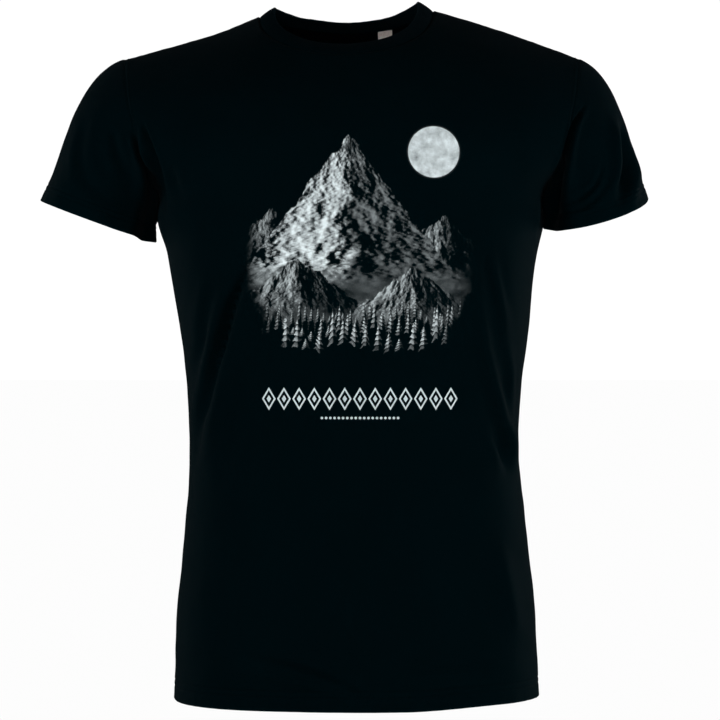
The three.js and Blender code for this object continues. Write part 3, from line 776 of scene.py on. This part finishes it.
def surface(tree, inputs):
    """Ends a material's tree in one Principled shader."""
    shader = new_node(tree, "ShaderNodeBsdfPrincipled", inputs)
    new_node(tree, "ShaderNodeOutputMaterial", {"Surface": shader.outputs[0]})


WEAR_AND_HIGHLIGHT_PALER = 0.6  # how much of its colour a fold gains, partly as wear and partly as a painted highlight on its rim
FUZZ_RELIEF = 0.35  # how high the fibres stand, beside the yarns


def fabric(name, colour, weave, sizes, relief, gloss):
    """A cloth whose knit or weave and whose fibres shade its colour and raise its surface."""
    made = bpy.data.materials.new(name)
    tree = bare_nodes(made)
    flat = field(tree, "ShaderNodeUVMap", uv_map="Cloth")
    yarns, fuzz = use_group(weave, tree, Place=flat, **sizes), fuzz_of(tree, mottle=0.25)
    # Paler along a fold: partly wear and partly a painted highlight on the rim of the fold.
    worn_and_highlit = field(tree, "ShaderNodeAttribute", output="Fac", attribute_name="WearAndHighlight")
    tint = shaded(colour, yarns["Shade"] * fuzz["Shade"] + worn_and_highlit * WEAR_AND_HIGHLIGHT_PALER)
    raised = yarns["Relief"] + fuzz["Relief"] * FUZZ_RELIEF
    bump = field(tree, "ShaderNodeBump", {"Height": raised, "Distance": relief, "Strength": 0.6})
    surface(tree, {"Base Color": tint, "Roughness": fuzz["Roughness"], "Normal": bump, **gloss})
    return made


MATT_COTTON = {
    "Specular IOR Level": 0.007,
    "Specular Tint": (0.3, 0.85, 1.0, 1),
    "Sheen Roughness": 0.35,
    "Sheen Tint": (0.75, 0.9, 1.0, 1),
}

jersey = fabric(
    "black_jersey",
    colour=(0.0001, 0.0023, 0.0031),
    weave=knit,
    sizes={"Width": 0.0008, "Height": 0.0006},
    relief=0.0002,
    gloss={**MATT_COTTON, "Sheen Weight": 0.012},
)


def settle(piece, slot, *nodes, material=None):
    """Gives a piece its material and its place in the frame, and hides the CAD nodes that it stands for."""
    if material:
        piece.data.materials.append(material)
    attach(piece, "root")
    if nodes:
        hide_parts(*nodes)
    return piece


panels, sleeves = {}, {}
for face in FACING:
    panel = cloth(f"{face}_cloth", grids[face][HEM_TOP:], normals[face][HEM_TOP:], JERSEY)
    panels[face] = settle(panel, "jersey", f"{face}_panel", material=jersey)
for side in SLEEVES:
    to_hem = slice(0, SLEEVE_HEM_TOP + 1)
    sleeve = cloth(f"sleeve_cloth_{side}", grids[side][to_hem], normals[side][to_hem], JERSEY, closed=True)
    sleeves[side] = settle(sleeve, "jersey", f"sleeve_{side}", material=jersey)


# ==== Hems
# The edges of the body and sleeves are folded up inside and sewn with two parallel rows of a twin needle.
# The fold is a little paler than the cloth, partly from wear and partly as a painted highlight along its rim.
HEM = 2.0


def hem(name, node, points, point_normals):
    piece = cloth(name, points, point_normals, HEM, closed=True, folded=True)
    return settle(piece, "jersey", node, material=jersey)


def all_round(values):
    """The front's rows in the hem joined to the back's, from the top of the hem down to its fold."""
    return np.hstack([values["front"][: HEM_TOP + 1], values["back"][: HEM_TOP + 1, 1:]])[::-1, ::-1]


hems = {"bottom": hem("hem_cloth", "bottom_hem", all_round(grids), all_round(normals))}
for side in SLEEVES:
    edge, edge_normals = grids[side][SLEEVE_HEM_TOP:], normals[side][SLEEVE_HEM_TOP:]
    hems[side] = hem(f"sleeve_hem_cloth_{side}", f"sleeve_hem_{side}", edge, edge_normals)


# ==== Neckband
# A strip of one-by-one rib, folded lengthwise and sewn to the neck edge with its fold up.
# It is stretched as it is sewn, so it stands up and leans in round the neck.
BAND_WIDTH, BAND_THICK = 19, 2.0
BAND_BULGE, BULGE_POWER = 1.5, 0.6  # outwards half way up, with a flatter top for a lower power
BAND_TUCK, TUCK_TOP = 0.7, 0.06  # inwards at the foot, up to this share of the width
BAND_RISE = {"front": (42, 39, 36), "back": (27, 22, 36)}  # degrees at the middle, half way and at the side
BAND_ROWS, BAND_SMOOTHING = 19, 6
RIBS, RIB_HEIGHT = 236, 0.22

# The band's foot follows the neck seam, smoothed, in steps of a quarter of a rib.
on_neck = np.abs(columns) <= NECK_COLUMNS + 0.01
neck_seam = np.concatenate([grids[face][-1, on_neck][:-1] for face in FACING])
toward_side = np.sin(math.pi / 2 * columns[on_neck][:-1] / NECK_COLUMNS) ** 2
steep = np.concatenate([np.interp(toward_side, (0, 0.5, 1), BAND_RISE[face]) for face in FACING])
neck_seam, steep = np.vstack([neck_seam, neck_seam[:1]]), np.append(steep, steep[0])
gone = np.concatenate([[0], np.cumsum(np.linalg.norm(np.diff(neck_seam, axis=0), axis=1))])
spots = np.linspace(0, gone[-1], 4 * RIBS + 1)
foot = np.stack([np.interp(spots, gone, values) for values in (*neck_seam.T, steep)], -1)[:-1]
for _ in range(BAND_SMOOTHING):
    foot = (np.roll(foot, 1, axis=0) + 2 * foot + np.roll(foot, -1, axis=0)) / 4
foot = np.vstack([foot, foot[:1]])
foot, steep = foot[:, :3], np.radians(foot[:, 3])
inward = unit((np.array([NECK_X, LEAN, 0]) - ORIGIN - foot) * (1, 1, 0))
up_band = (1 - np.cos(np.linspace(0, np.pi, BAND_ROWS)[:, None])) / 2
reach = (BAND_WIDTH - 1) * up_band * np.cos(steep) - BAND_BULGE * np.sin(np.pi * up_band) ** BULGE_POWER
reach += BAND_TUCK * ramp(up_band, TUCK_TOP, 0)
band = foot + inward * reach[..., None]
band[..., 2] += (BAND_WIDTH - 1) * up_band * np.sin(steep)
band_normal = np.cos(steep)[:, None] * (0, 0, 1) - np.sin(steep)[:, None] * inward
band_normal = np.broadcast_to(band_normal, band.shape)
band = band + band_normal * RIB_HEIGHT * np.cos(np.arange(4 * RIBS + 1) * np.pi / 2)[:, None]

rib = fabric(
    "black_rib",
    colour=(0.0001, 0.0025, 0.0035),
    weave=knit,
    sizes={"Width": 0.00075, "Height": 0.0007},
    relief=0.00015,
    gloss={**MATT_COTTON, "Sheen Weight": 0.014},
)
neckband = cloth("neckband_rib", band, band_normal, BAND_THICK, closed=True, folded=True)
settle(neckband, "rib", "neckband", material=rib)


# ==== Neck tape
# A herringbone cotton tape that covers the seam inside the back of the neck, from shoulder to shoulder.
# It is sewn along the seam under the neckband and along its own lower edge.
TAPE, TAPE_ROWS = 0.6, 6
TAPE_GAP = 0.15  # between the cloth and the tape


@shader_group("Herringbone", Place=(0, 0, 0), Thread=0.0006, Band=0.004)
def twill(place, thread, band):
    """A twill whose slant turns round at the edge of each band."""
    x, y = place.x_and_y()
    slanting = (x.there_and_back(band) + y) / thread
    ridge = (slanting.fraction() * math.pi).sine()
    # The colour is darker between the ridges: painted shade in the hollows of the weave.
    return {"Relief": ridge, "Shade": ridge * 0.5 + 0.7}


# The tape's black is darker than the jersey's: painted shade inside the back of the neck.
black_tape = fabric(
    "black_tape",
    colour=(0.0003, 0.0006, 0.0012),
    weave=twill,
    sizes={"Thread": 0.0006, "Band": 0.0035},
    relief=0.00015,
    gloss={"Specular IOR Level": 0.03},
)
inside = grids["back"] - normals["back"] * (JERSEY + TAPE_GAP)
tape = cloth("neck_tape_cloth", inside[-TAPE_ROWS:, on_neck], normals["back"][-TAPE_ROWS:, on_neck], TAPE)
settle(tape, "tape", "neck_tape", material=black_tape)


# ==== Size label
# A tab of ecru satin ribbon, folded double and caught in the neck seam beside the middle of the back.
# It hangs free over the tape, and nothing is woven in it.
LABEL = 0.5
LABEL_SPAN = (1.4, 2.2)  # the columns between which it is caught
LABEL_GRID = 25
LABEL_GAP, LABEL_SWING = 0.2, 1.3  # off the tape at its top, and further out at its fold


def finer(points):
    """The same patch of surface with more rows and columns."""
    for axis in (0, 1):
        old, new = np.linspace(0, 1, points.shape[axis]), np.linspace(0, 1, LABEL_GRID)
        points = np.apply_along_axis(lambda values: np.interp(new, old, values), axis, points)
    return points


def under_label(points):
    """The part of the back's grid that the label covers, from the neck seam down."""
    covered = np.flatnonzero((columns[::-1] > LABEL_SPAN[0]) & (columns[::-1] < LABEL_SPAN[1]))
    return points[-TAPE_ROWS + 1 :, covered][::-1, ::-1]


face_in = unit(finer(under_label(-normals["back"])))
hang = np.linspace(0, 1, LABEL_GRID)[:, None, None]
tab = finer(under_label(inside)) + face_in * (TAPE + LABEL + LABEL_GAP + LABEL_SWING * hang**1.5)
label = cloth("size_label_tab", tab, -face_in, LABEL, folded=True)
ecru_satin = fabric(
    "ecru_satin",
    colour=(0.93, 0.83, 0.77),
    weave=twill,
    sizes={"Thread": 0.0005, "Band": 1.0},
    relief=0.0001,
    gloss={"Specular IOR Level": 0.4},
)
settle(label, "label", "size_label", material=ecru_satin)


# ==== Stitching
# Black polyester thread. A twin needle sews the hems in two rows, and single rows run beside the armholes and
# along the foot of the neck tape, where they show on the back.
STITCH, THREAD = 0.0032, 0.00042  # in metres
BEAD_SHARE = 0.86  # how much of a stitch shows, before its thread goes back into the cloth
THREAD_PROUD = 0.05
ARMHOLE_INSET = 1.5  # steps of the grid, which is about 3 mm


def stitch_row():
    """Geometry nodes that lay a bead of thread for each stitch along a line."""
    tree = bpy.data.node_groups.new("Stitch row", "GeometryNodeTree")
    tree.interface.new_socket("Geometry", in_out="INPUT", socket_type="NodeSocketGeometry")
    for label, kind in {"Stitch Length": "Float", "Thread": "Float", "Material": "Material"}.items():
        tree.interface.new_socket(label, in_out="INPUT", socket_type=f"NodeSocket{kind}")
    tree.interface.new_socket("Geometry", in_out="OUTPUT", socket_type="NodeSocketGeometry")
    given = tree.nodes.new("NodeGroupInput").outputs

    def made(kind, inputs, **settings):
        return new_node(tree, kind, inputs, **settings).outputs[0]

    length, thread = given["Stitch Length"], given["Thread"]
    line = made("GeometryNodeMeshToCurve", {"Mesh": given["Geometry"]})
    holes = made("GeometryNodeResampleCurve", {"Curve": line, "Length": length}, mode="LENGTH")
    along = made("GeometryNodeInputTangent", {})
    turned = made("FunctionNodeAlignRotationToVector", {"Vector": along}, axis="Z")
    long_way = made("ShaderNodeMath", {0: length, 1: BEAD_SHARE}, operation="MULTIPLY")
    size = made("ShaderNodeCombineXYZ", {0: thread, 1: thread, 2: long_way})
    bead = made("GeometryNodeMeshUVSphere", {"Segments": 6, "Rings": 4, "Radius": 0.5})
    places = {"Points": holes, "Instance": bead, "Rotation": turned, "Scale": size}
    beads = made("GeometryNodeInstanceOnPoints", places)
    real = made("GeometryNodeRealizeInstances", {"Geometry": beads})
    rounded = made("GeometryNodeSetShadeSmooth", {"Geometry": real})
    sewn = made("GeometryNodeSetMaterial", {"Geometry": rounded, "Material": given["Material"]})
    new_node(tree, "NodeGroupOutput", {"Geometry": sewn})
    return tree


sewing = stitch_row()
black_thread = bpy.data.materials.new("black_thread")
thread_tree = bare_nodes(black_thread)
thread_tint = shaded((0.0001, 0.002, 0.0027), fuzz_of(thread_tree, mottle=0.1)["Shade"])
surface(thread_tree, {"Base Color": thread_tint, "Roughness": 0.6, "Specular IOR Level": 0.015})


def stitches(name, lines):
    """Rows of stitches along lines of points, as one plain mesh."""
    mesh = bpy.data.meshes.new(name)
    ends = np.cumsum([len(line) for line in lines])
    edges = [(i, i + 1) for i in range(ends[-1] - 1) if i + 1 not in ends]
    mesh.from_pydata((np.concatenate(lines) / 1000).tolist(), edges, [])
    rows = into_scene(name, mesh)
    modifier = rows.modifiers.new("sewing", "NODES")
    modifier.node_group = sewing
    for label, value in {"Stitch Length": STITCH, "Thread": THREAD, "Material": black_thread}.items():
        modifier[sewing.interface.items_tree[label].identifier] = value
    bpy.context.view_layer.update()
    done = bpy.data.meshes.new_from_object(rows.evaluated_get(bpy.context.evaluated_depsgraph_get()))
    rows.modifiers.clear()
    rows.data = done
    done.name = name
    return settle(rows, "jersey")


def on_cloth(name, row, proud=THREAD_PROUD):
    """The points of some rows of a grid, as they lie on the outside of the cloth."""
    return grids[name][row] + normals[name][row] * proud


def beside_armhole(face, edge, next_in):
    """A line just inside a panel's edge at the armhole, from the armpit up."""
    panel = on_cloth(face, slice(ARMPIT, None))
    return mix(panel[:, edge], panel[:, next_in], ARMHOLE_INSET)


def tape_foot(proud):
    """The line along the tape's lower edge, so far out from the back's cloth."""
    below, above = on_cloth("back", -TAPE_ROWS, proud), on_cloth("back", 1 - TAPE_ROWS, proud)
    return mix(below, above, 0.5)[on_neck]


around_hem = [np.vstack([on_cloth("front", row), on_cloth("back", row)[1:]]) for row in HEM_STITCHES]
hem_stitches = {"bottom": stitches("hem_stitches", around_hem)}
for side in SLEEVES:
    around_sleeve = [on_cloth(side, row) for row in SLEEVE_STITCHES]
    hem_stitches[side] = stitches(f"sleeve_hem_stitches_{side}", around_sleeve)
right_armhole = np.vstack([beside_armhole("front", 0, 1), beside_armhole("back", -1, -2)[::-1]])
left_armhole = np.vstack([beside_armhole("front", -1, -2), beside_armhole("back", 0, 1)[::-1]])
armhole_stitches = stitches("armhole_stitches", [right_armhole, left_armhole])
on_tape = -JERSEY - TAPE_GAP - TAPE - 2 * THREAD_PROUD
tape_stitches = stitches("tape_stitches", [tape_foot(THREAD_PROUD), tape_foot(on_tape)])


# ==== Chest print
# One off-white ink, screen-printed on the finished cloth in a fine grain, so that its greys are more or less
# ink on the black. A snowy mountain stands in mist over pines, with a border of lozenges and dots under it.
INK = 0.12
INK_COLOUR = (0.66, 0.74, 0.76)
PRINT_MIDDLE, PRINT_HALF = np.array([16.1, 437]), (116, 158)

near_middle = np.abs(grids["front"][..., [0, 2]] - PRINT_MIDDLE) < PRINT_HALF
printed = near_middle.all(-1)
tall, wide = (np.flatnonzero(printed.any(axis)) for axis in (1, 0))
patch = (slice(tall[0], tall[-1] + 1), slice(wide[0], wide[-1] + 1))
film = grids["front"][patch] + normals["front"][patch] * INK
number = np.arange(film[..., 0].size).reshape(film.shape[:2])
faces = np.stack([number[:-1, :-1], number[:-1, 1:], number[1:, 1:], number[1:, :-1]], -1).reshape(-1, 4)
film_mesh = bpy.data.meshes.new("chest_print")
film_mesh.from_pydata((film.reshape(-1, 3) / 1000).tolist(), [], faces.tolist())
flat = ((film[..., [0, 2]] - PRINT_MIDDLE) / 1000).reshape(-1, 2)[faces.ravel()]
film_mesh.uv_layers.new(name="Print").uv.foreach_set("vector", flat.astype(np.float32).ravel())
film_mesh.shade_smooth()
chest_print = into_scene("chest_print", film_mesh)


# The picture is worked out in metres from the middle of the print.
MOON, MOON_RADIUS = (0.073, 0.118, 0), 0.0255
MOUNTAINS = (  # middle, top, steepness, seed, strength and the height at which its foot is lost in mist
    (-0.087, 0.062, 0.85, 3.0, 0.4, 0.025),
    (0.082, 0.055, 0.8, 7.0, 0.45, 0.02),
    (-0.012, 0.135, 1.3, 1.0, 0.88, 0.013),
    (-0.062, 0.012, 0.7, 12.0, 0.5, -0.02),
    (0.052, 0.004, 0.75, 15.0, 0.55, -0.025),
)
PINES = (  # ground, spacing, height, seed and strength
    (-0.052, 0.0064, 0.024, 2.0, 0.5),
    (-0.065, 0.0086, 0.032, 5.0, 0.6),
    (-0.081, 0.0115, 0.041, 9.0, 0.7),
)
LOZENGE_Y, LOZENGE_SPACING, LOZENGE_HALF, LOZENGES_HALF = -0.1265, 0.0151, 0.0115, 0.0981
DOT_Y, DOT_SPACING, DOT_RADIUS, DOTS_HALF = -0.1455, 0.0042, 0.0013, 0.0398
BORDER_STRENGTH = 0.72


def noise(scale, detail, x, y=0.0, z=0.0):
    place = field(x.tree, "ShaderNodeCombineXYZ", {0: x, 1: y, 2: z})
    inputs = {"Vector": place, "Scale": scale, "Detail": detail, "Roughness": 0.6}
    return field(x.tree, "ShaderNodeTexNoise", inputs)


def step(value, edge, width):
    """0 below the edge and 1 above it, with a soft change over the width."""
    inputs = {"Value": value, "From Min": edge - width / 2, "From Max": edge + width / 2}
    return field(value.tree, "ShaderNodeMapRange", inputs, interpolation_type="SMOOTHSTEP")


def blend(under, over, share):
    return field(share.tree, "ShaderNodeMix", {0: share, 2: under, 3: over})


@shader_group("Mountain", Place=(0, 0, 0), Middle=0.0, Top=0.1, Steepness=1.0, Seed=0.0)
def mountain(place, middle, top, steepness, seed):
    """One mountain: light and shade on ridges that fan out and down from its top."""
    x, y = place.x_and_y()
    aside, below = x - middle, top - y
    fan, down = aside / (below.at_least(0) + 0.03), below * 11
    slope = noise(2.9, 11, fan, down, seed) - noise(2.9, 11, fan - 0.03, down, seed)
    slope_light = (slope * 8 + 0.42).at_least(0).at_most(1)
    arete = aside + (noise(45, 4, below, seed) - 0.5) * 0.05
    face_light = (1 - step(arete, 0, 0.012)) * 0.7 + 0.26
    stones = noise(190, 6, x, y, seed) * 1.7 + 0.1
    crags = (noise(70, 6, aside, seed) - 0.5) * 0.03
    under_skyline = below - (abs(aside) * steepness + crags)
    return {"Inside": step(under_skyline, 0, 0.0012), "Tone": slope_light * face_light * stones}


@shader_group("Pines", Place=(0, 0, 0), Ground=0.0, Spacing=0.01, Height=0.03, Seed=0.0)
def pines(place, ground, spacing, height, seed):
    """A row of pines, whose crowns narrow upwards over their own uneven ground. Snow lies on each tier of
    boughs, and catches the light towards the top and on one side."""
    x, y = place.x_and_y()
    hilly_ground = ground + (noise(32, 3, x, seed) - 0.5) * 0.05
    along_row = x / spacing + seed
    chance = field(x.tree, "ShaderNodeTexWhiteNoise", {"W": along_row.whole()}, noise_dimensions="1D")
    up_tree = (y - hilly_ground) / ((chance * 0.75 + 0.25) * height)
    up_tier = (up_tree * 6).fraction()
    ragged = noise(700, 3, x, y) * 0.2 - 0.1
    crown = (1 - up_tree) * (up_tier * -0.34 + 0.62) + ragged
    beside_trunk = along_row.fraction() - (chance * 0.36 + 0.32)
    snow = up_tier * -0.85 + 1
    lit_side = step(beside_trunk, 0.02, 0.16) * -0.75 + 1
    light = snow * lit_side * step(up_tree, 0.3, 0.9)
    return {"Inside": step(crown - abs(beside_trunk), 0, 0.06), "Tone": light}


def landscape(place):
    """How much ink the picture has: a moon over mountains in mist and rows of pines, with brushed edges."""
    tree, (x, y) = place.tree, place.x_and_y()
    from_moon = field(tree, "ShaderNodeVectorMath", {0: place, 1: MOON}, "Value", operation="DISTANCE")
    seas = noise(75, 5, x, y) * 1.1 - 0.02
    glow = (1 - step(from_moon, 0.029, 0.012)) * 0.1
    picture = blend(glow, seas, 1 - step(from_moon, MOON_RADIUS, 0.0008))
    mist = noise(22, 5, x, y * 2.5)
    for middle, top, steepness, seed, strength, foot in MOUNTAINS:
        shape = use_group(mountain, tree, Place=place, Middle=middle, Top=top, Steepness=steepness, Seed=seed)
        out_of_mist = step(mist * 0.03 + y, foot, 0.045)
        rock = blend(mist * 0.22, shape["Tone"] * strength, out_of_mist)
        picture = blend(picture, rock, shape["Inside"])
    for ground, spacing, height, seed, strength in PINES:
        row = use_group(pines, tree, Place=place, Ground=ground, Spacing=spacing, Height=height, Seed=seed)
        picture = blend(picture, row["Tone"] * strength, row["Inside"])
    brushed = noise(40, 6, x, y) * 0.06 - 0.03
    from_side = (y * 0.45 + 0.117 + brushed).at_most(0.112) - abs(x)
    from_foot = y + 0.1 + brushed
    return (picture * 1.45 - 0.1) * step(from_side, 0.008, 0.02) * step(from_foot, 0.02, 0.035)


def border(place):
    """How much ink the border has: a row of lozenges with rims, and a shorter row of dots."""
    tree, (x, y) = place.tree, place.x_and_y()
    aside = abs((x / LOZENGE_SPACING + 0.5).fraction() - 0.5)
    from_lozenge = aside * 2.2 + abs(y - LOZENGE_Y) / LOZENGE_HALF
    rims, cores = abs(from_lozenge - 0.86).under(0.13), from_lozenge.under(0.32)
    lozenges = (rims + cores) * abs(x).under(LOZENGES_HALF)
    dot_aside = ((x / DOT_SPACING + 0.5).fraction() - 0.5) * DOT_SPACING
    beside_dot = field(tree, "ShaderNodeCombineXYZ", {0: dot_aside, 1: y - DOT_Y})
    from_dot = field(tree, "ShaderNodeVectorMath", {0: beside_dot}, "Value", operation="LENGTH")
    dots = from_dot.under(DOT_RADIUS) * abs(x).under(DOTS_HALF)
    return (lozenges + dots) * BORDER_STRENGTH


ink = bpy.data.materials.new("off_white_ink")
ink_tree = bare_nodes(ink)
on_print = field(ink_tree, "ShaderNodeUVMap", uv_map="Print")
grain = noise(1500, 2, *on_print.x_and_y()) * 0.5 + 0.75
covered = landscape(on_print).at_least(border(on_print)) * grain
fuzz = fuzz_of(ink_tree, mottle=0.05)
pores = {"Height": fuzz["Relief"], "Distance": 0.0001, "Strength": 0.4}
ink_look = {
    "Base Color": shaded(INK_COLOUR, fuzz["Shade"]),
    "Roughness": 0.6,
    "Specular IOR Level": 0.2,
    "Normal": field(ink_tree, "ShaderNodeBump", pores),
    "Alpha": covered.at_least(0).at_most(1),
}
surface(ink_tree, ink_look)
settle(chest_print, "print", material=ink)
